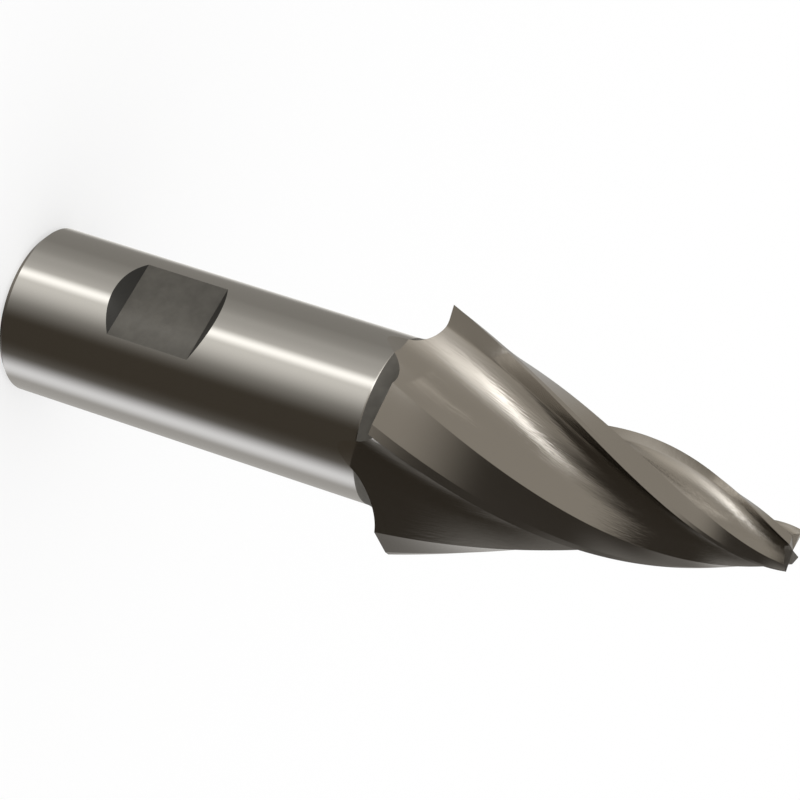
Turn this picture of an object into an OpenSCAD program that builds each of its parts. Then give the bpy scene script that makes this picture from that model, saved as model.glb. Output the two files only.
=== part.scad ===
// Tapered end mill with a plain shank and one drive flat.
// The tool stands on its shank end, tip up, with its axis on Z and the flat facing -Y.

/* [Shank] */
// Shank diameter, held by the tool holder
shank_diameter = 25.4; // [20:0.1:32]
// Ground length of the shank, from its end to the fillet under the head
shank_length = 60.6; // [45:0.1:90]
// Bevel on the rim of the shank end
end_bevel = 1.0; // [0.4:0.1:2]
// Mouth diameter of the centre hole in the shank end
centre_mouth = 6.6; // [3:0.1:10]
// Depth of the centre hole, from the shank end to the bottom of its small drilled hole
centre_depth = 6.0; // [4.5:0.1:9.5]

/* [Drive flat] */
// Distance from the shank end to the floor of the drive flat
flat_start = 18.1; // [8:0.1:24]
// Length of the floor of the drive flat along the shank
flat_length = 13.5; // [6:0.1:15]
// Depth of the drive flat under the round of the shank
flat_depth = 1.85; // [0.8:0.05:2.6]
// Slope of the two end walls of the flat, measured from its floor
flat_wall_angle = 45; // [35:1:70]

/* [Cutting head] */
// Diameter at the tip
tip_diameter = 6.35; // [5:0.05:9]
// Taper of the head on each side of the axis
taper_angle = 15; // [12.5:0.5:16]
// Length of the cutting head along the axis
cut_length = 58.7; // [52:0.1:66]
// Radius of the fillet between the shank and the back of the teeth
head_fillet = 4.2; // [2.5:0.1:5]
// Number of flutes
flute_count = 4; // [3:1:4]
// Angle between a cutting edge and the axis
helix_angle = 22; // [5:1:30]
// Turn of the cutting edge at the back of the head from the side facing the flat
edge_turn = 36.5; // [0:0.5:90]

/* [Tooth form] */
// Share of the tooth pitch taken by the narrow land behind the cutting edge
margin_share = 0.05; // [0.02:0.005:0.1]
// Share of the tooth pitch from the cutting edge to the heel
land_share = 0.295; // [0.2:0.005:0.4]
// Height of the heel as a share of the radius of the edge
heel_height = 0.89; // [0.85:0.005:0.96]
// Share of the tooth pitch from the edge to the crease at the foot of the back slope
crease_share = 0.52; // [0.48:0.005:0.58]
// Height of the crease as a share of the radius of the edge
crease_height = 0.652; // [0.62:0.002:0.7]
// Height of the flute floor where its curve begins, as a share of the radius of the edge
core_height = 0.614; // [0.56:0.002:0.64]
// Height where the straight face of the next tooth begins, as a share of the radius of the edge
face_height = 0.83; // [0.74:0.01:0.88]

/* [End teeth] */
// Dish of the end, falling towards the axis
dish_angle = 3; // [0:0.5:8]
// Relief of the end teeth behind their edges
end_relief_angle = 12; // [6:1:18]
// Depth of the notch before each end tooth as a share of the tip radius
notch_depth = 0.42; // [0.25:0.01:0.55]

/* [Hidden] */
$fn = 96;

shank_radius = shank_diameter / 2;
tip_radius = tip_diameter / 2;
taper_slope = tan(taper_angle);
back_radius = tip_radius + cut_length * taper_slope;
head_back = shank_length + head_fillet;
tip_at = head_back + cut_length;
pitch = 360 / flute_count;

// The edge keeps one angle to the axis, so its turn grows with the logarithm of the radius.
turn_rate = tan(helix_angle) / sin(taper_angle) * 180 / PI;

// The floor of a flute leaves the shank where its radius grows past the shank radius.
fade_radius = shank_radius / core_height;
fade_at = head_back - max(0, fade_radius - back_radius) / taper_slope;
joint_at = min(fade_at, shank_length) - 1.2;
joint_inset = 0.01;
back_break = 0.15;

margin_height = 1 - 1.1 * (1 - heel_height) * margin_share / land_share;
root_share = 0.66;
face_share = 0.99;
root_pull = 0.45;
face_pull = 0.15;
corner_turn = 14;

margin_steps = 1;
land_steps = 3;
slope_steps = 4;
floor_steps = 4;
root_steps = 8;
face_steps = 3;
tooth_steps = margin_steps + land_steps + slope_steps + floor_steps + root_steps + face_steps;
ring_steps = tooth_steps * flute_count;
back_steps = 9;
head_steps = 46;

function polar(share, height) = height * [cos(share * pitch), sin(share * pitch)];
function unit(v) = v / norm(v);
function between(a, b, steps) = [for (i = [0 : steps - 1]) a + (b - a) * i / steps];
function bend(a, b, c, d, steps) = [
    for (i = [0 : steps - 1])
        let (t = i / steps)
        pow(1 - t, 3) * a + 3 * pow(1 - t, 2) * t * b + 3 * (1 - t) * t * t * c + pow(t, 3) * d
];

edge_point = polar(0, 1);
margin_point = polar(margin_share, margin_height);
heel_point = polar(land_share, heel_height);
crease_point = polar(crease_share, crease_height);
root_point = polar(root_share, core_height);
face_point = polar(face_share, face_height);
next_edge = polar(1, 1);
floor_way = unit(root_point - crease_point);
face_way = atan2(next_edge.y - face_point.y, next_edge.x - face_point.x) + corner_turn;
curve_reach = norm(face_point - root_point);

// One pitch of the cross-section at an edge radius of 1, from one cutting edge to the next.
tooth_section = concat(
    between(edge_point, margin_point, margin_steps),
    between(margin_point, heel_point, land_steps),
    between(heel_point, crease_point, slope_steps),
    between(crease_point, root_point, floor_steps),
    bend(
        root_point,
        root_point + curve_reach * root_pull * floor_way,
        face_point - curve_reach * face_pull * [cos(face_way), sin(face_way)],
        face_point,
        root_steps
    ),
    between(face_point, next_edge, face_steps)
);
section_angle = [for (p = tooth_section) atan2(p.y, p.x)];
section_height = [for (p = tooth_section) norm(p)];
root_index = margin_steps + land_steps + slope_steps + floor_steps;

function edge_radius(z) = back_radius - (z - head_back) * taper_slope;
function edge_angle(z) = edge_turn + turn_rate * ln(back_radius / edge_radius(z));
function body_radius(z) = shank_radius - joint_inset
    + (z <= shank_length ? 0 : head_fillet - sqrt(head_fillet * head_fillet - pow(z - shank_length, 2)));

// Where the straight line between two section points crosses the round body.
function crossing(i, j, scale, limit) =
    let (a = section_height[i] * scale - limit)
    let (b = section_height[j] * scale - limit)
    let (p = tooth_section[i] + (tooth_section[j] - tooth_section[i]) * a / (a - b))
    atan2(p.y, p.x);

// Ring of one pitch behind the teeth as angle and radius pairs: the flute where it cuts into
// the round body, and the body itself for the rest.
function cut_pitch(scale, limit) =
    let (low = [for (i = [0 : tooth_steps - 1]) if (section_height[i] * scale < limit) i])
    len(low) == 0
        ? [
            for (i = [0 : tooth_steps - 1])
                [section_angle[root_index] + (i - root_index) * pitch / tooth_steps, limit]
        ]
        : let (first = low[0])
          let (last = low[len(low) - 1])
          let (leave = crossing(first - 1, first, scale, limit))
          let (enter = last == tooth_steps - 1 ? pitch : crossing(last, last + 1, scale, limit))
          let (round_steps = tooth_steps - (last - first + 1) - 1)
          [
            for (i = [0 : tooth_steps - 1])
                i >= first && i <= last
                    ? [section_angle[i], section_height[i] * scale]
                    : let (k = i > last ? i - last - 1 : i + tooth_steps - last - 1)
                      let (a = enter + (leave + pitch - enter) * k / round_steps)
                      [i > last ? a : a - pitch, limit]
          ];

function head_pitch(scale) = [
    for (i = [0 : tooth_steps - 1])
        [section_angle[i], section_height[i] * scale]
];

function place(a, r, z) = [r * sin(a), -r * cos(a), z];

function full_ring(pairs, z) = [
    for (k = [0 : flute_count - 1])
        for (p = pairs)
            place(edge_angle(z) - k * pitch - p[0], p[1], z)
];

// Height lost behind an end edge, as a share of the distance from the axis.
notch_at = 0.86;
function end_drop(share) =
    share < land_share ? share * pitch * PI / 180 * tan(end_relief_angle)
    : share < notch_at
        ? let (start = land_share * pitch * PI / 180 * tan(end_relief_angle))
          start + (notch_depth - start) * (share - land_share) / (notch_at - land_share)
    : notch_depth * (1 - share) / (1 - notch_at);
function end_height(i, scale) = tip_at - tip_radius
    * (section_height[i] * scale * end_drop(section_angle[i] / pitch)
    + (1 - section_height[i] * scale) * tan(dish_angle));

function rim_ring() = [
    for (k = [0 : flute_count - 1])
        for (i = [0 : tooth_steps - 1])
            let (z = end_height(i, 1))
            place(edge_angle(z) - k * pitch - section_angle[i], section_height[i] * edge_radius(z), z)
];
function end_ring(scale) = [
    for (k = [0 : flute_count - 1])
        for (i = [0 : tooth_steps - 1])
            let (a = edge_angle(end_height(i, 1)) - k * pitch - section_angle[i])
            place(a, section_height[i] * tip_radius * scale, end_height(i, scale))
];

// These rings crowd towards the back of the teeth, where the fillet curves the most.
back_start = joint_at + 0.95;
back_heights = concat(
    [joint_at - 0.6, joint_at + 0.4],
    [
        for (i = [0 : back_steps])
            back_start + (head_back - back_break - back_start) * (1 - pow(1 - i / back_steps, 1.5))
    ]
);
rim_depth = tip_radius * (notch_depth * 0.8 + 0.08);
body_top = tip_at - rim_depth;
head_log = ln(back_radius / edge_radius(body_top));
head_heights = [
    for (i = [0 : head_steps])
        head_back + (back_radius - back_radius * exp(-head_log * i / head_steps)) / taper_slope
];

all_rings = concat(
    [for (z = back_heights) full_ring(cut_pitch(edge_radius(z), body_radius(z)), z)],
    [for (z = head_heights) full_ring(head_pitch(edge_radius(z)), z)],
    [rim_ring(), end_ring(0.72), end_ring(0.42), end_ring(0.16)]
);
ring_total = len(all_rings);
ring_points = [for (r = all_rings) each r];
foot_point = [0, 0, joint_at - 0.6];
top_point = [0, 0, tip_at - tip_radius * tan(dish_angle)];

// Behind the teeth, the diagonals follow the two sides of each flute as it widens.
side_faces = [
    for (j = [0 : ring_total - 2])
        for (i = [0 : ring_steps - 1])
            let (a = j * ring_steps + i)
            let (b = j * ring_steps + (i + 1) % ring_steps)
            each j < len(back_heights) - 1 && i % tooth_steps < root_index
                ? [[a, b, a + ring_steps], [b, b + ring_steps, a + ring_steps]]
                : [[a, b, b + ring_steps], [a, b + ring_steps, a + ring_steps]]
];
foot_faces = [
    for (i = [0 : ring_steps - 1])
        [(i + 1) % ring_steps, i, ring_total * ring_steps]
];
top_faces = [
    for (i = [0 : ring_steps - 1])
        let (base = (ring_total - 1) * ring_steps)
        [base + i, base + (i + 1) % ring_steps, ring_total * ring_steps + 1]
];

// Fluted head: cutting teeth, flutes running out into the shank, fillet and end teeth.
module fluted_head() {
    polyhedron(
        points = concat(ring_points, [foot_point, top_point]),
        faces = concat(side_faces, foot_faces, top_faces),
        convexity = 12
    );
}

// Round shank up to the place where the flutes begin. Its seam is turned away from the flat.
module round_shank() {
    rotate([0, 0, -22.5])
        rotate_extrude()
        polygon([
            [0, 0],
            [shank_radius - end_bevel, 0],
            [shank_radius, end_bevel],
            [shank_radius, joint_at],
            [0, joint_at]
        ]);
}

// Body taken away for the drive flat, with sloping end walls.
module flat_cut() {
    floor_at = shank_radius - flat_depth;
    cut_top = shank_radius + 1;
    spread = (cut_top - floor_at) / tan(flat_wall_angle);
    rotate([90, 0, -90])
        translate([0, 0, -shank_radius - 1])
        linear_extrude(height = shank_diameter + 2)
        polygon([
            [floor_at, flat_start],
            [cut_top, flat_start - spread],
            [cut_top, flat_start + flat_length + spread],
            [floor_at, flat_start + flat_length]
        ]);
}

// Centre hole in the shank end, left from the grinding between centres.
module centre_hole() {
    mouth_depth = centre_mouth / 2 / tan(30);
    translate([0, 0, -0.01])
        cylinder(h = mouth_depth, r1 = centre_mouth / 2, r2 = 0.01);
    cylinder(h = centre_depth, r = centre_mouth / 6);
}

module end_mill() {
    color([0.62, 0.61, 0.59])
        difference() {
            union() {
                round_shank();
                fluted_head();
            }
            flat_cut();
            centre_hole();
        }
}

end_mill();
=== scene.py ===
from math import atan2, cos, hypot, log, pi, radians, sin, tan

import bmesh
import bpy
from bpy.props import FloatProperty, FloatVectorProperty, IntProperty, PointerProperty
from mathutils import Matrix, Vector


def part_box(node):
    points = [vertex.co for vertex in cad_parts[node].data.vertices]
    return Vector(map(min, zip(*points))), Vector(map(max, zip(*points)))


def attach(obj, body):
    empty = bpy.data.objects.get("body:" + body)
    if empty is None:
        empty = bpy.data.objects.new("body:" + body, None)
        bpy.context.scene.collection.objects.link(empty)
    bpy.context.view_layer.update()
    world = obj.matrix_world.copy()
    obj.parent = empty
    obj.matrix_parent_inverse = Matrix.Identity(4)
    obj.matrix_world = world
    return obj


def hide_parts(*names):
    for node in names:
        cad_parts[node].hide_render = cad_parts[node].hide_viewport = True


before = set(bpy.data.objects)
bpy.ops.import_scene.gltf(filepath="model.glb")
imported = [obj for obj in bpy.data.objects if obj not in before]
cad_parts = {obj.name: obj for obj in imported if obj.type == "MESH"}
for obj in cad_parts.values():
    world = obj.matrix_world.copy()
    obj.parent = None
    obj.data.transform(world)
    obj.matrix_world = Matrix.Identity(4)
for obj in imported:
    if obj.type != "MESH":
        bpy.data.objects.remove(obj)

bl_info = {
    "name": "Tapered end mill",
    "version": (1, 0, 0),
    "blender": (4, 5, 0),
    "location": "View3D > Sidebar > End mill",
    "description": "Builds a tapered end mill in ground steel and the stage it stands on",
    "category": "Object",
}

CAD_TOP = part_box("end_mill")[1].z


class ShankSizes(bpy.types.PropertyGroup):
    """Sizes of the ground shank and its centre hole"""

    diameter: FloatProperty(
        name="Diameter",
        description="Diameter of the shank",
        default=0.0254,
        unit="LENGTH",
    )
    length: FloatProperty(
        name="Length",
        description="Ground length of the shank, from its end to the fillet under the head",
        default=0.0606,
        unit="LENGTH",
    )
    end_bevel: FloatProperty(
        name="End bevel",
        description="Bevel on the rim of the shank end",
        default=0.001,
        unit="LENGTH",
    )
    centre_mouth: FloatProperty(
        name="Centre mouth",
        description="Mouth diameter of the centre hole",
        default=0.0066,
        unit="LENGTH",
    )
    centre_depth: FloatProperty(
        name="Centre depth",
        description="Full depth of the centre hole",
        default=0.006,
        unit="LENGTH",
    )


class FlatSizes(bpy.types.PropertyGroup):
    """Sizes of the drive flat"""

    start: FloatProperty(
        name="Start",
        description="Distance from the shank end to the floor of the flat",
        default=0.0181,
        unit="LENGTH",
    )
    length: FloatProperty(
        name="Length",
        description="Length of the floor of the flat",
        default=0.0135,
        unit="LENGTH",
    )
    depth: FloatProperty(
        name="Depth",
        description="Depth of the flat under the round of the shank",
        default=0.00185,
        unit="LENGTH",
    )


class HeadSizes(bpy.types.PropertyGroup):
    """Sizes of the cutting head"""

    tip_diameter: FloatProperty(
        name="Tip diameter",
        description="Diameter over the cutting edges at the tip",
        default=0.00635,
        unit="LENGTH",
    )
    taper: FloatProperty(
        name="Taper",
        description="Taper of the head on each side of the axis",
        default=radians(15),
        unit="ROTATION",
    )
    height: FloatProperty(
        name="Height",
        description="Height of the tip over the shank end",
        default=CAD_TOP,
        unit="LENGTH",
    )
    fillet: FloatProperty(
        name="Fillet",
        description="Radius of the fillet between the shank and the backs of the teeth",
        default=0.0042,
        unit="LENGTH",
    )
    flutes: IntProperty(
        name="Flutes",
        description="Number of flutes",
        default=4,
    )
    helix: FloatProperty(
        name="Helix",
        description="Angle between a cutting edge and the axis",
        default=radians(22),
        unit="ROTATION",
    )
    edge_turn: FloatProperty(
        name="Edge turn",
        description="Turn of the cutting edge at the back of the head, from the side of the flat",
        default=radians(36.5),
        unit="ROTATION",
    )


class ToothShares(bpy.types.PropertyGroup):
    """Outline of one tooth, as shares of the tooth pitch and of the radius of the edge"""

    margin: FloatProperty(
        name="Margin",
        description="Share of the pitch taken by the narrow land behind the edge",
        default=0.05,
        subtype="FACTOR",
    )
    land: FloatProperty(
        name="Land",
        description="Share of the pitch from the edge to the heel",
        default=0.295,
        subtype="FACTOR",
    )
    heel_height: FloatProperty(
        name="Heel height",
        description="Height of the heel as a share of the radius of the edge",
        default=0.89,
        subtype="FACTOR",
    )
    crease: FloatProperty(
        name="Crease",
        description="Share of the pitch from the edge to the foot of the back slope",
        default=0.52,
        subtype="FACTOR",
    )
    crease_height: FloatProperty(
        name="Crease height",
        description="Height of the crease as a share of the radius of the edge",
        default=0.652,
        subtype="FACTOR",
    )
    core_height: FloatProperty(
        name="Core height",
        description="Height of the flute floor where its curve begins",
        default=0.614,
        subtype="FACTOR",
    )
    face_height: FloatProperty(
        name="Face height",
        description="Height where the straight face of the next tooth begins",
        default=0.83,
        subtype="FACTOR",
    )


class EndTeeth(bpy.types.PropertyGroup):
    """Teeth ground into the end of the head"""

    dish: FloatProperty(
        name="Dish",
        description="Fall of the end towards the axis",
        default=radians(3),
        unit="ROTATION",
    )
    relief: FloatProperty(
        name="Relief",
        description="Relief of the end teeth behind their edges",
        default=radians(12),
        unit="ROTATION",
    )
    notch: FloatProperty(
        name="Notch",
        description="Depth of the notch before each end tooth, as a share of the tip radius",
        default=0.42,
        subtype="FACTOR",
    )
    notch_at: FloatProperty(
        name="Notch place",
        description="Share of the pitch from an end edge to the deepest line of the notch",
        default=0.86,
        subtype="FACTOR",
    )


class SteelFinishes(bpy.types.PropertyGroup):
    """Colours of the steel where it is ground, polished and left as hardened, with painted shade on
    the end walls of the flat
    """

    ground: FloatVectorProperty(
        name="Ground steel",
        description="Colour of the ground shank",
        default=(0.55, 0.54, 0.52),
        size=3,
        subtype="COLOR",
    )
    flute: FloatVectorProperty(
        name="Flute steel",
        description="Colour of the polished flutes",
        default=(0.52, 0.5, 0.47),
        size=3,
        subtype="COLOR",
    )
    land: FloatVectorProperty(
        name="Land steel",
        description="Colour of the ground lands behind the edges",
        default=(0.5, 0.48, 0.45),
        size=3,
        subtype="COLOR",
    )
    skin: FloatVectorProperty(
        name="Hardened skin",
        description="Colour of the dull skin on the flat and in the fillet",
        default=(0.117, 0.109, 0.093),
        size=3,
        subtype="COLOR",
    )
    # The wall skin is the hardened skin painted much darker: painted shade on the end walls of the
    # flat.
    wall: FloatVectorProperty(
        name="Wall skin with painted shade",
        description="Colour of the skin painted darker as shade on the end walls of the flat",
        default=(0.02, 0.019, 0.016),
        size=3,
        subtype="COLOR",
    )


class StageSettings(bpy.types.PropertyGroup):
    """Camera"""

    camera_place: FloatVectorProperty(
        name="Camera place",
        description="Where the camera stands",
        default=(0.24309, -0.46107, 0.27099),
        size=3,
        subtype="TRANSLATION",
    )
    camera_turn: FloatVectorProperty(
        name="Camera turn",
        description="Turn of the camera about the three axes",
        default=(radians(-37.088), radians(-61.970), radians(158.732)),
        size=3,
        subtype="EULER",
    )
    lens: FloatProperty(
        name="Lens",
        description="Focal length of the camera in millimetres",
        default=174.06,
    )


FINISH_NAMES = (
    "ground steel",
    "flute steel",
    "land steel",
    "margin steel",
    "hardened skin",
    "end steel",
    # The wall skin is the hardened skin painted darker on the end walls of the flat, as painted
    # shade.
    "wall skin with painted shade",
)
GROUND, FLUTE, LAND, MARGIN, SKIN, END, SHADED_WALL = range(len(FINISH_NAMES))
SAME_PLACE = 1e-6  # distance under which two points are one
FACING = 0.9  # least share of a normal with which a face is taken to face some way


def select_only(piece):
    """Leaves one object selected and active."""
    bpy.ops.object.select_all(action="DESELECT")
    piece.select_set(True)
    bpy.context.view_layer.objects.active = piece


def apply_modifier(piece, modifier):
    """Applies one modifier of a piece."""
    select_only(piece)
    bpy.ops.object.modifier_apply(modifier=modifier.name)


class Head:
    """The rules that the edges and flutes of the head follow."""

    def __init__(self, scene):
        shank, sizes = scene.mill_shank, scene.mill_head
        self.shank_radius = shank.diameter / 2
        self.slope = tan(sizes.taper)
        self.tip_radius = sizes.tip_diameter / 2
        self.tip_at = sizes.height
        self.back_at = shank.length + sizes.fillet
        self.back_radius = self.tip_radius + (self.tip_at - self.back_at) * self.slope
        self.apex = self.back_at + self.back_radius / self.slope
        self.turn_rate = tan(sizes.helix) / sin(sizes.taper)
        self.edge_turn = sizes.edge_turn
        self.flutes = sizes.flutes
        self.pitch = 2 * pi / sizes.flutes

    def edge_radius(self, z):
        """Radius of the cutting edges at a height."""
        return (self.apex - z) * self.slope

    def edge_angle(self, z):
        """Angle of the first cutting edge at a height, from the side of the flat."""
        return self.edge_turn + self.turn_rate * log(self.back_radius / self.edge_radius(z))


def place(angle, radius, z):
    """Point at an angle from the side of the flat, a radius and a height."""
    return Vector((radius * sin(angle), -radius * cos(angle), z))


def line(start, end, steps):
    """Points of a straight stretch, without its last one."""
    return [start.lerp(end, i / steps) for i in range(steps)]


def bend(start, first_pull, second_pull, end, steps):
    """Points of a curve that two places pull at on its way, without its last one."""
    points = []
    for i in range(steps):
        done = i / steps
        left = 1 - done
        near = start * left**3 + first_pull * 3 * left * left * done
        points.append(near + second_pull * 3 * left * done * done + end * done**3)
    return points


# Places in the outline of a tooth that follow from how the flutes are ground. Lengths are
# at an edge radius of 1.
MARGIN_FALL = 1.1  # fall of the margin, against a straight line from edge to heel
ROOT_SHARE = 0.66  # share of the pitch where the curve of the flute floor begins
FACE_SHARE = 0.99  # share of the pitch where the straight tooth face begins
FACE_TURN = radians(14)  # turn between the end of the curve and the tooth face
ROOT_PULL, FACE_PULL = 0.45, 0.15  # pulls of the curve at its ends, as shares of its reach
CREASE_ROUND = 0.05  # length of the rounding on each side of the crease
FACE_ROUND = 0.1  # share of the tooth face taken by the rounding at its foot
ROUND_PULL = 0.4  # where a rounding is pulled to, from its corner towards its ends


def tooth_outline(shares, pitch):
    """One pitch of the cross-section at an edge radius of 1, with the finish of each stretch."""

    def polar(share, height):
        """Point at a share of the pitch and a height over the axis."""
        return Vector((height * cos(share * pitch), height * sin(share * pitch)))

    def rounding(start, corner, end, steps):
        """Points of a rounding from start to end, pulled towards a corner."""
        return bend(start, corner.lerp(start, ROUND_PULL), corner.lerp(end, ROUND_PULL), end, steps)

    fall = MARGIN_FALL * (1 - shares.heel_height) * shares.margin / shares.land
    edge = polar(0, 1)
    margin = polar(shares.margin, 1 - fall)
    heel = polar(shares.land, shares.heel_height)
    crease = polar(shares.crease, shares.crease_height)
    root = polar(ROOT_SHARE, shares.core_height)
    face = polar(FACE_SHARE, shares.face_height)
    next_edge = polar(1, 1)
    crease_in = crease + (heel - crease).normalized() * CREASE_ROUND
    crease_out = crease + (root - crease).normalized() * CREASE_ROUND
    reach = (face - root).length
    face_way = atan2(next_edge.y - face.y, next_edge.x - face.x) + FACE_TURN
    root_handle = root + (root - crease).normalized() * reach * ROOT_PULL
    face_handle = face - Vector((cos(face_way), sin(face_way))) * reach * FACE_PULL
    curve = bend(root, root_handle, face_handle, face, 24)
    curve_end = curve.pop()
    face_out = face.lerp(next_edge, FACE_ROUND)
    stretches = [
        (line(edge, margin, 3), MARGIN),
        (line(margin, heel, 12), LAND),
        (line(heel, crease_in, 10), FLUTE),
        (rounding(crease_in, crease, crease_out, 6), FLUTE),
        (line(crease_out, root, 9), FLUTE),
        (curve, FLUTE),
        (rounding(curve_end, face, face_out, 4), FLUTE),
        (line(face_out, next_edge, 6), FLUTE),
    ]
    points = [point for stretch, _ in stretches for point in stretch]
    finishes = [finish for stretch, finish in stretches for _ in stretch]
    return points, finishes


def end_height(share, reach, scene, head):
    """Height of the end at a share of the pitch and of the tip radius."""
    shares, ends = scene.mill_tooth, scene.mill_ends
    heel_drop = shares.land * head.pitch * tan(ends.relief)
    if share < shares.land:
        drop = share * head.pitch * tan(ends.relief)
    elif share < ends.notch_at:
        way = (share - shares.land) / (ends.notch_at - shares.land)
        drop = heel_drop + (ends.notch - heel_drop) * way
    else:
        drop = ends.notch * (1 - share) / (1 - ends.notch_at)
    return head.tip_at - head.tip_radius * (reach * drop + (1 - reach) * tan(ends.dish))


class MILL_OT_finishes(bpy.types.Operator):
    """Mix the finishes of the steel"""

    bl_idname = "mill.finishes"
    bl_label = "Mix steel finishes"

    def execute(self, context):
        colours = context.scene.mill_finishes
        steel("ground steel", colours.ground, roughness=0.16, scale=(60, 60, 2600), relief=1)
        steel("flute steel", colours.flute, roughness=0.12, scale=(9, 2, 1), relief=24, along=True)
        steel("land steel", colours.land, roughness=0.18, scale=(30, 6, 1), relief=4, along=True)
        steel("margin steel", colours.land, roughness=0.2, scale=(60, 8, 1), relief=2, along=True)
        skin = {"scale": (900, 900, 900), "relief": 8, "metal": 0}
        steel("hardened skin", colours.skin, roughness=0.45, mottle=0.12, **skin)
        # Hardened skin in a much darker colour: painted shade on the end walls of the flat.
        steel("wall skin with painted shade", colours.wall, roughness=0.5, **skin)
        steel("end steel", colours.land, roughness=0.26, scale=(1200, 1200, 1200), relief=1)
        return {"FINISHED"}


ROUGHNESS_SPREAD = 0.03  # change of the roughness along the grinding lines, up and down
MICRON = 1e-6
MOTTLE_SCALE = 700  # spots in a metre of hardened skin


def steel(name, colour, roughness, scale, relief, along=False, mottle=0, metal=1):
    """A steel with grinding lines: a stretched noise, its relief in microns.

    The lines follow the helix along the flutes, or else Object coordinates. Mottle is how
    much lighter and darker than its colour the spots of a skin are.
    """
    material = bpy.data.materials.new(name)
    material.use_nodes = True
    nodes, links = material.node_tree.nodes, material.node_tree.links
    shader = nodes["Principled BSDF"]
    shader.inputs["Metallic"].default_value = metal
    shader.inputs["Base Color"].default_value = (*colour, 1)
    coords = nodes.new("ShaderNodeTexCoord")
    mapping = nodes.new("ShaderNodeMapping")
    mapping.inputs["Scale"].default_value = scale
    grind = nodes.new("ShaderNodeTexNoise")
    grind.inputs["Scale"].default_value = 1
    grind.inputs["Detail"].default_value = 3
    links.new(coords.outputs["UV" if along else "Object"], mapping.inputs["Vector"])
    links.new(mapping.outputs["Vector"], grind.inputs["Vector"])
    ramp = nodes.new("ShaderNodeMapRange")
    ramp.inputs["To Min"].default_value = roughness - ROUGHNESS_SPREAD
    ramp.inputs["To Max"].default_value = roughness + ROUGHNESS_SPREAD
    links.new(grind.outputs["Fac"], ramp.inputs["Value"])
    links.new(ramp.outputs["Result"], shader.inputs["Roughness"])
    bumps = nodes.new("ShaderNodeBump")
    bumps.inputs["Distance"].default_value = relief * MICRON
    links.new(grind.outputs["Fac"], bumps.inputs["Height"])
    links.new(bumps.outputs["Normal"], shader.inputs["Normal"])
    if mottle:
        spotted = spotted_colour(nodes, links, coords.outputs["Object"], colour, mottle)
        links.new(spotted, shader.inputs["Base Color"])


def spotted_colour(nodes, links, spot, colour, mottle):
    """A colour with soft lighter and darker spots."""
    spots = nodes.new("ShaderNodeTexNoise")
    spots.inputs["Scale"].default_value = MOTTLE_SCALE
    spots.inputs["Detail"].default_value = 4
    links.new(spot, spots.inputs["Vector"])
    shade = nodes.new("ShaderNodeMapRange")
    shade.inputs["From Min"].default_value = 0.3
    shade.inputs["From Max"].default_value = 0.7
    shade.inputs["To Min"].default_value = 1 - mottle
    shade.inputs["To Max"].default_value = 1 + mottle
    links.new(spots.outputs["Fac"], shade.inputs["Value"])
    tinted = nodes.new("ShaderNodeVectorMath")
    tinted.operation = "SCALE"
    tinted.inputs[0].default_value = colour
    links.new(shade.outputs["Result"], tinted.inputs["Scale"])
    return tinted.outputs[0]


def add_finishes(piece):
    """Gives a piece all the finishes, in the order of their numbers."""
    for name in FINISH_NAMES:
        piece.data.materials.append(bpy.data.materials[name])


CENTRE_SLOPE = radians(30)  # half of the 60 degree mouth of the centre hole
MOUTH_TO_PILOT = 3  # mouth of the centre hole against its small drilled hole
SHANK_RINGS, FILLET_RINGS = 24, 24
SPIN_STEPS = 288
STOCK_RADIUS, STOCK_TOP = 1.4, 1.05  # stock round the head, against the head's own size


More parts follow.
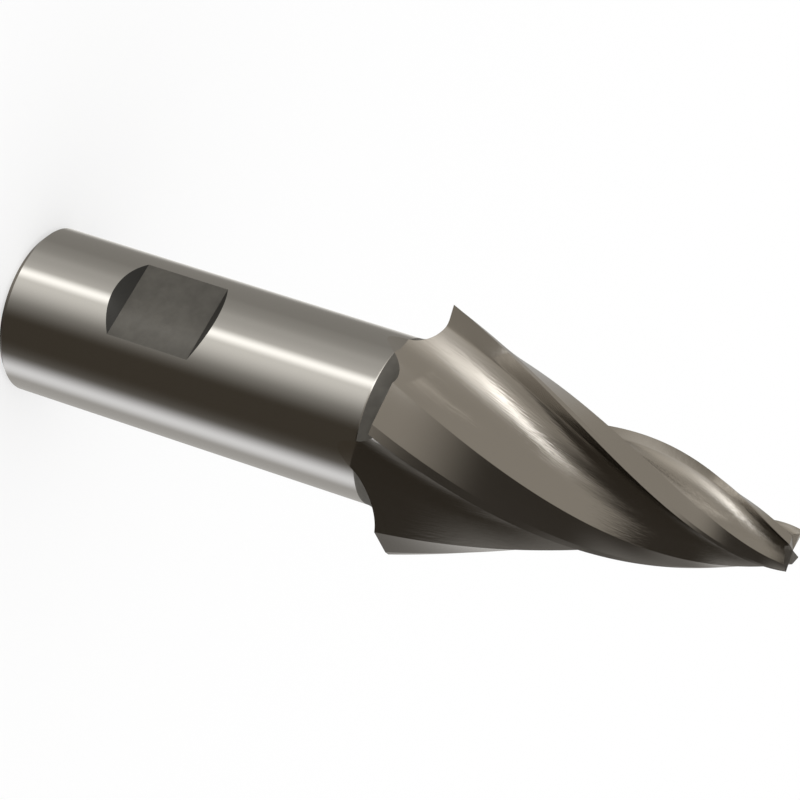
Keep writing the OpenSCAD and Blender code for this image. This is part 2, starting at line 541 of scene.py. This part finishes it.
class MILL_OT_blank(bpy.types.Operator):
    """Turn the blank: centre hole, shank, fillet and the back of the head"""

    bl_idname = "mill.blank"
    bl_label = "Turn blank"

    def execute(self, context):
        shank = context.scene.mill_shank
        head = Head(context.scene)
        fillet = context.scene.mill_head.fillet
        mouth = shank.centre_mouth / 2
        pilot = mouth / MOUTH_TO_PILOT
        radius = head.shank_radius
        profile = [
            (0, shank.centre_depth),
            (pilot, shank.centre_depth),
            (pilot, (mouth - pilot) / tan(CENTRE_SLOPE)),
            (mouth, 0),
            (radius - shank.end_bevel, 0),
            (radius, shank.end_bevel),
        ]
        for i in range(1, SHANK_RINGS):
            z = shank.end_bevel + (shank.length - shank.end_bevel) * i / SHANK_RINGS
            profile.append((radius, z))
        for i in range(FILLET_RINGS + 1):
            turn = pi / 2 * i / FILLET_RINGS
            profile.append((radius + fillet * (1 - cos(turn)), shank.length + fillet * sin(turn)))
        stock_radius = head.back_radius * STOCK_RADIUS
        stock_top = head.tip_at * STOCK_TOP
        profile += [(stock_radius, head.back_at), (stock_radius, stock_top), (0, stock_top)]
        bpy.ops.object.select_all(action="DESELECT")
        bpy.ops.mesh.primitive_circle_add(vertices=len(profile), radius=radius)
        blank = context.object
        blank.name = "turned_blank"
        for vertex, (reach, z) in zip(blank.data.vertices, profile):
            vertex.co = (reach, 0, z)
        add_finishes(blank)
        bpy.ops.object.mode_set(mode="EDIT")
        mesh = bmesh.from_edit_mesh(blank.data)
        mesh.verts.ensure_lookup_table()
        closing = mesh.edges.get((mesh.verts[0], mesh.verts[len(profile) - 1]))
        mesh.edges.remove(closing)
        bmesh.update_edit_mesh(blank.data)
        bpy.ops.mesh.select_all(action="SELECT")
        bpy.ops.mesh.spin(steps=SPIN_STEPS, angle=2 * pi, center=(0, 0, 0), axis=(0, 0, 1))
        bpy.ops.mesh.select_all(action="SELECT")
        bpy.ops.mesh.remove_doubles(threshold=SAME_PLACE)
        bpy.ops.mesh.normals_make_consistent(inside=False)
        bpy.ops.object.mode_set(mode="OBJECT")
        for polygon in blank.data.polygons:
            reach = hypot(polygon.center.x, polygon.center.y)
            z = polygon.center.z
            in_fillet = z > shank.length
            in_pilot = reach < pilot + SAME_PLACE and z < shank.centre_depth + SAME_PLACE
            polygon.material_index = SKIN if in_fillet or in_pilot else GROUND
        return {"FINISHED"}


FLAT_CLEARANCE = 0.002  # height of the flat's cutter over the round of the shank
FLAT_WIDTH = 3  # width of the flat's cutter in shank radii, wider than the shank


class MILL_OT_flat(bpy.types.Operator):
    """Mill the drive flat into the blank"""

    bl_idname = "mill.flat"
    bl_label = "Mill drive flat"

    def execute(self, context):
        flat = context.scene.mill_flat
        head = Head(context.scene)
        blank = bpy.data.objects["turned_blank"]
        floor = head.shank_radius - flat.depth
        rise = flat.depth + FLAT_CLEARANCE
        bpy.ops.object.select_all(action="DESELECT")
        middle = flat.start + flat.length / 2
        bpy.ops.mesh.primitive_cube_add(
            size=1,
            location=(0, -floor - rise / 2, middle),
            scale=(head.shank_radius * FLAT_WIDTH, rise, flat.length),
        )
        cutter = context.object
        cutter.name = "flat_cutter"
        bpy.ops.object.transform_apply(location=True, rotation=True, scale=True)
        add_finishes(cutter)
        bpy.ops.object.mode_set(mode="EDIT")
        bpy.ops.mesh.select_all(action="DESELECT")
        mesh = bmesh.from_edit_mesh(cutter.data)
        for face in mesh.faces:
            # The end walls get the darker wall skin, which is painted shade.
            face.material_index = SHADED_WALL if abs(face.normal.z) > FACING else SKIN
            if face.normal.y < -FACING:
                face.select_set(True)
        bmesh.update_edit_mesh(cutter.data)
        # The outer face grows by the rise at each end, so that the end walls slope 45 degrees.
        spread = (flat.length + 2 * rise) / flat.length
        bpy.ops.transform.resize(value=(1, 1, spread), center_override=(0, 0, middle))
        bpy.ops.object.mode_set(mode="OBJECT")
        cut = blank.modifiers.new("drive flat", "BOOLEAN")
        cut.operation = "DIFFERENCE"
        cut.solver = "EXACT"
        cut.object = cutter
        apply_modifier(blank, cut)
        bpy.data.objects.remove(cutter)
        return {"FINISHED"}


FLUTE_BANDS = 230
SAME_BAND = 1e-7  # distance under which the points of two bands are joined
PHASE_SLACK = 1e-5  # keeps the first point of a ring from being counted as its last
FORM_START = 0.0098  # start of the bands under the back of the head
FORM_END = 0.416  # end of the bands under the tip, as a share of the tip radius
FORM_FOOT = 0.005  # foot of the form under the shank end
WALL_STEPS = 6  # steps from the last band up to the end edges
END_REACHES = (0.93, 0.84, 0.72, 0.6, 0.48, 0.36, 0.24, 0.12, 0.04)  # rings on the end


class MILL_OT_flutes(bpy.types.Operator):
    """Form the flutes: one band of the tooth outline, repeated along the cone"""

    bl_idname = "mill.flutes"
    bl_label = "Form flutes"

    def execute(self, context):
        head = Head(context.scene)
        points, finishes = tooth_outline(context.scene.mill_tooth, head.pitch)
        start_at = head.back_at - FORM_START
        end_at = head.tip_at - head.tip_radius * FORM_END
        shrink = (head.edge_radius(end_at) / head.edge_radius(start_at)) ** (1 / FLUTE_BANDS)
        twist = -head.turn_rate * log(shrink)
        form = self.lay_ring(context, head, points, start_at)
        apex = Vector((0, 0, head.apex))
        step = (
            Matrix.Translation(apex)
            @ Matrix.Rotation(twist, 4, "Z")
            @ Matrix.Scale(shrink, 4)
            @ Matrix.Translation(-apex)
        )
        self.raise_band(form, step, finishes)
        self.repeat_band(context, form, step)
        bpy.ops.object.mode_set(mode="EDIT")
        self.select_ring(form, start_at)
        drop = -start_at - FORM_FOOT
        bpy.ops.mesh.extrude_edges_move(TRANSFORM_OT_translate={"value": (0, 0, drop)})
        bpy.ops.mesh.edge_face_add()
        self.shape_end(form, EndRules(context.scene, head, points, end_at), finishes)
        bpy.ops.mesh.select_all(action="SELECT")
        bpy.ops.mesh.normals_make_consistent(inside=False)
        bpy.ops.object.mode_set(mode="OBJECT")
        return {"FINISHED"}

    def lay_ring(self, context, head, points, z):
        """Lays the outline of all the teeth as one ring at a height."""
        ring = []
        for tooth in range(head.flutes):
            for point in points:
                angle = head.edge_angle(z) - tooth * head.pitch - atan2(point.y, point.x)
                ring.append(place(angle, point.length * head.edge_radius(z), z))
        bpy.ops.object.select_all(action="DESELECT")
        bpy.ops.mesh.primitive_circle_add(vertices=len(ring), radius=head.shank_radius)
        form = context.object
        form.name = "fluted_form"
        for vertex, point in zip(form.data.vertices, ring):
            vertex.co = point
        add_finishes(form)
        return form

    def raise_band(self, form, step, finishes):
        """Raises the ring by one step and gives the faces between their finishes."""
        count = len(form.data.vertices)
        bpy.ops.object.mode_set(mode="EDIT")
        bpy.ops.mesh.select_all(action="SELECT")
        bpy.ops.mesh.extrude_edges_move()
        mesh = bmesh.from_edit_mesh(form.data)
        raised = [vertex for vertex in mesh.verts if vertex.select]
        bmesh.ops.transform(mesh, matrix=step, verts=raised)
        bmesh.update_edit_mesh(form.data)
        bpy.ops.object.mode_set(mode="OBJECT")
        for polygon in form.data.polygons:
            low = sorted(i for i in polygon.vertices if i < count)
            i = low[-1] if low[0] == 0 and low[-1] == count - 1 else low[0]
            polygon.material_index = finishes[i % len(finishes)]

    def repeat_band(self, context, form, step):
        """Repeats the band up the cone, each one shrunk and turned from the one before."""
        bpy.ops.object.empty_add()
        guide = context.object
        guide.matrix_world = step
        context.view_layer.update()
        array = form.modifiers.new("bands", "ARRAY")
        array.use_relative_offset = False
        array.use_object_offset = True
        array.offset_object = guide
        array.count = FLUTE_BANDS
        array.use_merge_vertices = True
        array.merge_threshold = SAME_BAND
        apply_modifier(form, array)
        bpy.data.objects.remove(guide)

    def select_ring(self, form, z):
        """Selects the ring of the form at one height."""
        bpy.ops.mesh.select_all(action="DESELECT")
        mesh = bmesh.from_edit_mesh(form.data)
        for edge in mesh.edges:
            if all(abs(vertex.co.z - z) < SAME_PLACE for vertex in edge.verts):
                edge.select_set(True)
        bmesh.update_edit_mesh(form.data)

    def shape_end(self, form, rules, finishes):
        """Raises the last ring to the end edges and draws it in to the axis."""
        self.select_ring(form, rules.end_at)
        mesh = bmesh.from_edit_mesh(form.data)
        ring = sorted((vertex for vertex in mesh.verts if vertex.select), key=rules.phase)
        numbers = {vertex.co.to_tuple(): i for i, vertex in enumerate(ring)}
        steps = [(rules.on_wall, i / WALL_STEPS, finishes) for i in range(1, WALL_STEPS + 1)]
        steps += [(rules.on_end, level, [END] * len(finishes)) for level in END_REACHES]
        for rule, level, colours in steps:
            bpy.ops.mesh.extrude_edges_move()
            mesh = bmesh.from_edit_mesh(form.data)
            drawn = {}
            for vertex in mesh.verts:
                if vertex.select:
                    side = next(edge for edge in vertex.link_edges if not edge.select)
                    drawn[vertex] = numbers[side.other_vert(vertex).co.to_tuple()]
            for edge in mesh.edges:
                if edge.select:
                    pair = sorted(drawn[vertex] for vertex in edge.verts)
                    first = pair[1] if pair[1] - pair[0] > 1 else pair[0]
                    edge.link_faces[0].material_index = colours[first % len(colours)]
            for vertex, number in drawn.items():
                vertex.co = rule(number, level)
            numbers = {vertex.co.to_tuple(): number for vertex, number in drawn.items()}
            bmesh.update_edit_mesh(form.data)
        bpy.ops.mesh.merge(type="CENTER")


class EndRules:
    """The places of the rings between the last band and the middle of the end."""

    def __init__(self, scene, head, points, end_at):
        self.scene = scene
        self.head = head
        self.points = points
        self.end_at = end_at

    def phase(self, vertex):
        """How far round the form a point lies behind the first edge."""
        turn = self.head.edge_angle(self.end_at) - atan2(vertex.co.x, -vertex.co.y)
        return (turn + PHASE_SLACK) % (2 * pi)

    def point(self, number):
        """Point of the outline for a point of the ring."""
        return self.points[number % len(self.points)]

    def rim(self, number, level):
        """Height of the end at a point of the outline, drawn in to a share of its reach."""
        point = self.point(number)
        share = atan2(point.y, point.x) / self.head.pitch
        return end_height(share, point.length * level, self.scene, self.head)

    def turned(self, number, z):
        """Angle of a point of the outline at a height."""
        head, point = self.head, self.point(number)
        tooth = number // len(self.points)
        return head.edge_angle(z) - tooth * head.pitch - atan2(point.y, point.x)

    def on_wall(self, number, level):
        """Place of a point on its way from the last band to the end edges."""
        z = self.end_at + (self.rim(number, 1) - self.end_at) * level
        reach = self.point(number).length * self.head.edge_radius(z)
        return place(self.turned(number, z), reach, z)

    def on_end(self, number, level):
        """Place of a point on the end, drawn in towards the axis."""
        reach = self.point(number).length * self.head.tip_radius * level
        return place(self.turned(number, self.rim(number, 1)), reach, self.rim(number, level))


SMOOTH_ANGLE = radians(24)
MAP_SCALE = 10  # size of the map along the flutes
ON_ROUND = 1e-5  # distance under which a point lies on the round of the shank
UPRIGHT = 1e-3  # rise of a normal under which its face stands upright


class MILL_OT_tool(bpy.types.Operator):
    """Bring the blank and the flutes together as the finished tool"""

    bl_idname = "mill.tool"
    bl_label = "Finish tool"

    def execute(self, context):
        head = Head(context.scene)
        tool = bpy.data.objects["turned_blank"]
        form = bpy.data.objects["fluted_form"]
        cut = tool.modifiers.new("flutes", "BOOLEAN")
        cut.operation = "INTERSECT"
        cut.solver = "EXACT"
        cut.object = form
        apply_modifier(tool, cut)
        bpy.data.objects.remove(form)
        tool.name = "end_mill_steel"
        tool.data.name = "end_mill_steel"
        select_only(tool)
        bpy.ops.object.shade_smooth_by_angle(angle=SMOOTH_ANGLE)
        self.lay_lines(tool, head)
        self.true_normals(tool, context.scene)
        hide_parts("end_mill")
        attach(tool, "root")
        return {"FINISHED"}

    def lay_lines(self, tool, head):
        """Lays a map along the flutes: the tooth and place across it, then the way to the tip."""
        mesh = tool.data
        lines = mesh.uv_layers.active or mesh.uv_layers.new(name="along the helix")
        for polygon in mesh.polygons:
            if polygon.material_index not in (FLUTE, LAND, MARGIN):
                continue
            first = None
            for index in polygon.loop_indices:
                spot = mesh.vertices[mesh.loops[index].vertex_index].co
                across = (head.edge_angle(spot.z) - atan2(spot.x, -spot.y)) / head.pitch
                if first is None:
                    first = across % head.flutes
                across += head.flutes * round((first - across) / head.flutes)
                way = log(head.back_radius / head.edge_radius(spot.z))
                lines.data[index].uv = (across * MAP_SCALE, way * MAP_SCALE)

    def true_normals(self, tool, scene):
        """Keeps the line between two finishes crisp and the round of the shank even beside it."""
        mesh = tool.data
        bpy.ops.object.mode_set(mode="EDIT")
        edit = bmesh.from_edit_mesh(mesh)
        for edge in edit.edges:
            if len({face.material_index for face in edge.link_faces}) > 1:
                edge.smooth = False
        bmesh.update_edit_mesh(mesh)
        bpy.ops.object.mode_set(mode="OBJECT")
        shank, fillet = scene.mill_shank, scene.mill_head.fillet
        radius = shank.diameter / 2
        centre = radius + fillet
        normals = [Vector((0, 0, 0))] * len(mesh.loops)
        for polygon in mesh.polygons:
            if polygon.material_index not in (GROUND, SKIN):
                continue
            upright = abs(polygon.normal.z) < UPRIGHT
            for index in polygon.loop_indices:
                spot = mesh.vertices[mesh.loops[index].vertex_index].co
                reach = hypot(spot.x, spot.y)
                if spot.z > shank.length + ON_ROUND and polygon.material_index == SKIN:
                    out, up = (centre - reach) / fillet, (shank.length - spot.z) / fillet
                elif abs(reach - radius) < ON_ROUND and upright:
                    out, up = 1, 0
                else:
                    continue
                away = abs(polygon.normal.x * spot.x + polygon.normal.y * spot.y) / reach
                if away > FACING or up < 0:
                    normal = Vector((spot.x / reach * out, spot.y / reach * out, up))
                    normals[index] = normal.normalized()
        mesh.normals_split_custom_set(normals)


SENSOR = 36
CLIP_NEAR, CLIP_FAR = 0.01, 20
FLOOR_SIZE = 6
SLEEVE_RADIUS, SLEEVE_LOW, SLEEVE_HIGH, SLEEVE_SIDES = 0.0137, -0.008, 0.06, 96


class MILL_OT_stage(bpy.types.Operator):
    """Set the floor, the light and the camera"""

    bl_idname = "mill.stage"
    bl_label = "Set stage"

    def execute(self, context):
        scene = context.scene
        scene.view_settings.view_transform = "Standard"
        place_camera(scene)
        lay_floor(context)
        put_sleeve(context)
        light_studio(scene)
        return {"FINISHED"}


def place_camera(scene):
    """The camera that was fitted to the photo."""
    stage = scene.mill_stage
    camera_data = bpy.data.cameras.new("camera")
    camera_data.lens = stage.lens
    camera_data.sensor_width = SENSOR
    camera_data.clip_start = CLIP_NEAR
    camera_data.clip_end = CLIP_FAR
    camera = bpy.data.objects.new("camera", camera_data)
    camera.location = stage.camera_place
    camera.rotation_euler = stage.camera_turn
    scene.collection.objects.link(camera)
    scene.camera = camera


def lay_floor(context):
    """White floor under the tool, not mirrored in the steel."""
    bpy.ops.object.select_all(action="DESELECT")
    bpy.ops.mesh.primitive_plane_add(size=FLOOR_SIZE)
    floor = context.object
    floor.name = "floor"
    floor.visible_glossy = False
    floor.data.materials.append(floor_paint())


def put_sleeve(context):
    """Open sleeve close round the shank. Only the steel sees it."""
    bpy.ops.object.select_all(action="DESELECT")
    bpy.ops.mesh.primitive_cylinder_add(
        vertices=SLEEVE_SIDES,
        radius=SLEEVE_RADIUS,
        depth=SLEEVE_HIGH - SLEEVE_LOW,
        end_fill_type="NOTHING",
        location=(0, 0, (SLEEVE_LOW + SLEEVE_HIGH) / 2),
    )
    sleeve = context.object
    sleeve.name = "sleeve"
    sleeve.visible_camera = False
    sleeve.visible_diffuse = False
    sleeve.visible_shadow = False
    sleeve.data.materials.append(sleeve_paper())


def math_node(nodes, links, operation, *inputs):
    """Maths node fed with sockets or plain numbers."""
    node = nodes.new("ShaderNodeMath")
    node.operation = operation
    for socket, value in zip(node.inputs, inputs):
        if isinstance(value, (int, float)):
            socket.default_value = value
        else:
            links.new(value, socket)
    return node.outputs[0]


FLOOR_GREY = 0.44  # what the floor gives back of the plain light; its glow gives the rest
FLOOR_ROUGHNESS = 0.9


def floor_paint():
    """White paint that looks fully white to the camera except in the tool's shadow."""
    material = bpy.data.materials.new("floor paint")
    material.use_nodes = True
    nodes, links = material.node_tree.nodes, material.node_tree.links
    shader = nodes["Principled BSDF"]
    shader.inputs["Base Color"].default_value = (FLOOR_GREY, FLOOR_GREY, FLOOR_GREY, 1)
    shader.inputs["Roughness"].default_value = FLOOR_ROUGHNESS
    shader.inputs["Specular IOR Level"].default_value = 0
    shader.inputs["Emission Color"].default_value = (1, 1, 1, 1)
    glow = math_node(nodes, links, "MULTIPLY", background_rays(nodes, links), 1 - FLOOR_GREY)
    links.new(glow, shader.inputs["Emission Strength"])
    return material


def background_rays(nodes, links):
    """1 for the rays that see the background: from the camera, metal or glass."""
    paths = nodes.new("ShaderNodeLightPath")
    total = paths.outputs["Is Camera Ray"]
    for name in ("Is Glossy Ray", "Is Transmission Ray"):
        total = math_node(nodes, links, "MAXIMUM", total, paths.outputs[name])
    return total


# Tints of the light, red, green and blue. DIM is the tint of what lies between the panels.
WARM = (1.08, 1, 0.88)
SOFT = (1.02, 1, 0.95)
DIM = (1.2, 1, 0.75)
PLAIN = (1.01, 1, 0.98)
COOL = (0.98, 1, 1.06)
ROOM_BASE, SLEEVE_BASE = 0.032, 0.055  # light between the panels, and between the strips

# Panels that the head reflects. First the side, in degrees from the flat, with the half
# widths where the panel is full and where it has faded out. Then the rise, the same above
# or below level. Then light and tint.
ROOM_PANELS = (
    ((-55, 48, 90), (5, 20, 50), 0.32, WARM),
    ((-25, 62, 82), (-36, 8, 26), 0.28, WARM),
    ((-30, 10, 65), (-32, 8, 30), 0.26, PLAIN),
    ((-25, 0, 30), (-20, 0, 20), 0.7, PLAIN),
    ((-10, 0, 14), (-13, 6, 20), 1.55, PLAIN),
    ((-150, 10, 50), (-12, 10, 42), 0.36, PLAIN),
    ((175, 25, 60), (-5, 20, 50), 0.15, PLAIN),
    ((140, 20, 60), (38, 8, 36), 0.4, PLAIN),
    ((0, 170, 190), (85, 5, 35), 0.5, PLAIN),
    ((-30, 105, 140), (-68, 8, 34), 0.24, WARM),
)
# Strips on the sleeve that the shank reflects: side as above, light and tint.
SLEEVE_STRIPS = (
    ((-78, 0, 24), 0.7, PLAIN),
    ((-53, 26, 40), 0.25, SOFT),
    ((1, 9, 30), 0.49, SOFT),
    ((7, 0, 6), 0.97, PLAIN),
    ((17, 0, 26), 0.47, SOFT),
    ((84, 0, 15), 0.72, COOL),
    ((116, 15, 58), 0.45, PLAIN),
    ((-145, 12, 42), 0.36, PLAIN),
    ((-178, 0, 12), 0.7, PLAIN),
)


def soft_edge(nodes, links, distance, full, gone):
    """1 up to a distance in degrees, fading to 0 at a wider one."""
    edge = nodes.new("ShaderNodeMapRange")
    edge.interpolation_type = "SMOOTHSTEP"
    edge.inputs["From Min"].default_value = radians(gone)
    edge.inputs["From Max"].default_value = radians(full)
    links.new(distance, edge.inputs["Value"])
    return edge.outputs["Result"]


def side_distance(nodes, links, spot, side):
    """Angle round the tool between a direction and a side."""
    level = nodes.new("ShaderNodeVectorMath")
    level.operation = "MULTIPLY"
    level.inputs[1].default_value = (1, 1, 0)
    links.new(spot, level.inputs[0])
    unit = nodes.new("ShaderNodeVectorMath")
    unit.operation = "NORMALIZE"
    links.new(level.outputs[0], unit.inputs[0])
    dot = nodes.new("ShaderNodeVectorMath")
    dot.operation = "DOT_PRODUCT"
    dot.inputs[1].default_value = (sin(radians(side)), -cos(radians(side)), 0)
    links.new(unit.outputs[0], dot.inputs[0])
    return math_node(nodes, links, "ARCCOSINE", dot.outputs["Value"])


def add_light(nodes, links, total, share, light, tint):
    """Adds a share of a tinted light to a colour, or to a plain number for the dim base."""
    tinted = nodes.new("ShaderNodeVectorMath")
    tinted.operation = "SCALE"
    tinted.inputs[0].default_value = [light * part for part in tint]
    links.new(share, tinted.inputs["Scale"])
    both = nodes.new("ShaderNodeVectorMath")
    both.operation = "ADD"
    links.new(tinted.outputs[0], both.inputs[0])
    if isinstance(total, (int, float)):
        both.inputs[1].default_value = [total * part for part in DIM]
    else:
        links.new(total, both.inputs[1])
    return both.outputs[0]


def light_studio(scene):
    """White to the camera, panels in a dim room to the steel, plain light to the rest."""
    world = bpy.data.worlds.new("studio")
    scene.world = world
    world.use_nodes = True
    nodes, links = world.node_tree.nodes, world.node_tree.links
    nodes.clear()
    spot = nodes.new("ShaderNodeTexCoord").outputs["Generated"]
    parts = nodes.new("ShaderNodeSeparateXYZ")
    links.new(spot, parts.inputs[0])
    rise = math_node(nodes, links, "ARCSINE", parts.outputs["Z"])
    total = ROOM_BASE
    for (side, full, gone), (level, level_full, level_gone), light, tint in ROOM_PANELS:
        across = soft_edge(nodes, links, side_distance(nodes, links, spot, side), full, gone)
        off = math_node(nodes, links, "SUBTRACT", rise, radians(level))
        off = math_node(nodes, links, "ABSOLUTE", off)
        upright = soft_edge(nodes, links, off, level_full, level_gone)
        share = math_node(nodes, links, "MULTIPLY", across, upright)
        total = add_light(nodes, links, total, share, light, tint)
    panels = nodes.new("ShaderNodeBackground")
    links.new(total, panels.inputs["Color"])
    white, plain = (nodes.new("ShaderNodeBackground") for _ in range(2))
    for background in (white, plain):
        background.inputs["Color"].default_value = (1, 1, 1, 1)
    paths = nodes.new("ShaderNodeLightPath")
    seen = mix_node(nodes, links, paths.outputs["Is Camera Ray"], panels, white)
    mix = mix_node(nodes, links, background_rays(nodes, links), plain, seen)
    output = nodes.new("ShaderNodeOutputWorld")
    links.new(mix.outputs[0], output.inputs["Surface"])


def mix_node(nodes, links, share, first, second):
    """Shader that is the first one at share 0 and the second one at share 1."""
    mix = nodes.new("ShaderNodeMixShader")
    links.new(share, mix.inputs["Fac"])
    links.new(first.outputs[0], mix.inputs[1])
    links.new(second.outputs[0], mix.inputs[2])
    return mix


def sleeve_paper():
    """Strips of light inside the sleeve round the shank; from outside it is clear."""
    material = bpy.data.materials.new("sleeve paper")
    material.use_nodes = True
    nodes, links = material.node_tree.nodes, material.node_tree.links
    nodes.clear()
    spot = nodes.new("ShaderNodeTexCoord").outputs["Object"]
    total = SLEEVE_BASE
    for (side, full, gone), light, tint in SLEEVE_STRIPS:
        share = soft_edge(nodes, links, side_distance(nodes, links, spot, side), full, gone)
        total = add_light(nodes, links, total, share, light, tint)
    glow = nodes.new("ShaderNodeEmission")
    links.new(total, glow.inputs["Color"])
    clear = nodes.new("ShaderNodeBsdfTransparent")
    backfacing = nodes.new("ShaderNodeNewGeometry").outputs["Backfacing"]
    inside = mix_node(nodes, links, backfacing, clear, glow)
    output = nodes.new("ShaderNodeOutputMaterial")
    links.new(inside.outputs[0], output.inputs["Surface"])
    return material


class MILL_PT_panel(bpy.types.Panel):
    """Steps that build the end mill"""

    bl_idname = "MILL_PT_panel"
    bl_label = "End mill"
    bl_space_type = "VIEW_3D"
    bl_region_type = "UI"
    bl_category = "End mill"

    def draw(self, context):
        layout = self.layout
        for operator in OPERATORS:
            layout.operator(operator.bl_idname)


OPERATORS = (
    MILL_OT_finishes,
    MILL_OT_blank,
    MILL_OT_flat,
    MILL_OT_flutes,
    MILL_OT_tool,
    MILL_OT_stage,
)
GROUPS = {
    "mill_shank": ShankSizes,
    "mill_flat": FlatSizes,
    "mill_head": HeadSizes,
    "mill_tooth": ToothShares,
    "mill_ends": EndTeeth,
    "mill_finishes": SteelFinishes,
    "mill_stage": StageSettings,
}


def register():
    for name, group in GROUPS.items():
        bpy.utils.register_class(group)
        setattr(bpy.types.Scene, name, PointerProperty(type=group))
    for operator in OPERATORS:
        bpy.utils.register_class(operator)
    bpy.utils.register_class(MILL_PT_panel)


def unregister():
    bpy.utils.unregister_class(MILL_PT_panel)
    for operator in reversed(OPERATORS):
        bpy.utils.unregister_class(operator)
    for name, group in GROUPS.items():
        delattr(bpy.types.Scene, name)
        bpy.utils.unregister_class(group)


def main():
    register()
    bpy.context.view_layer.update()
    bpy.ops.mill.finishes()
    bpy.ops.mill.blank()
    bpy.ops.mill.flat()
    bpy.ops.mill.flutes()
    bpy.ops.mill.tool()
    bpy.ops.mill.stage()


if __name__ == "__main__":
    main()
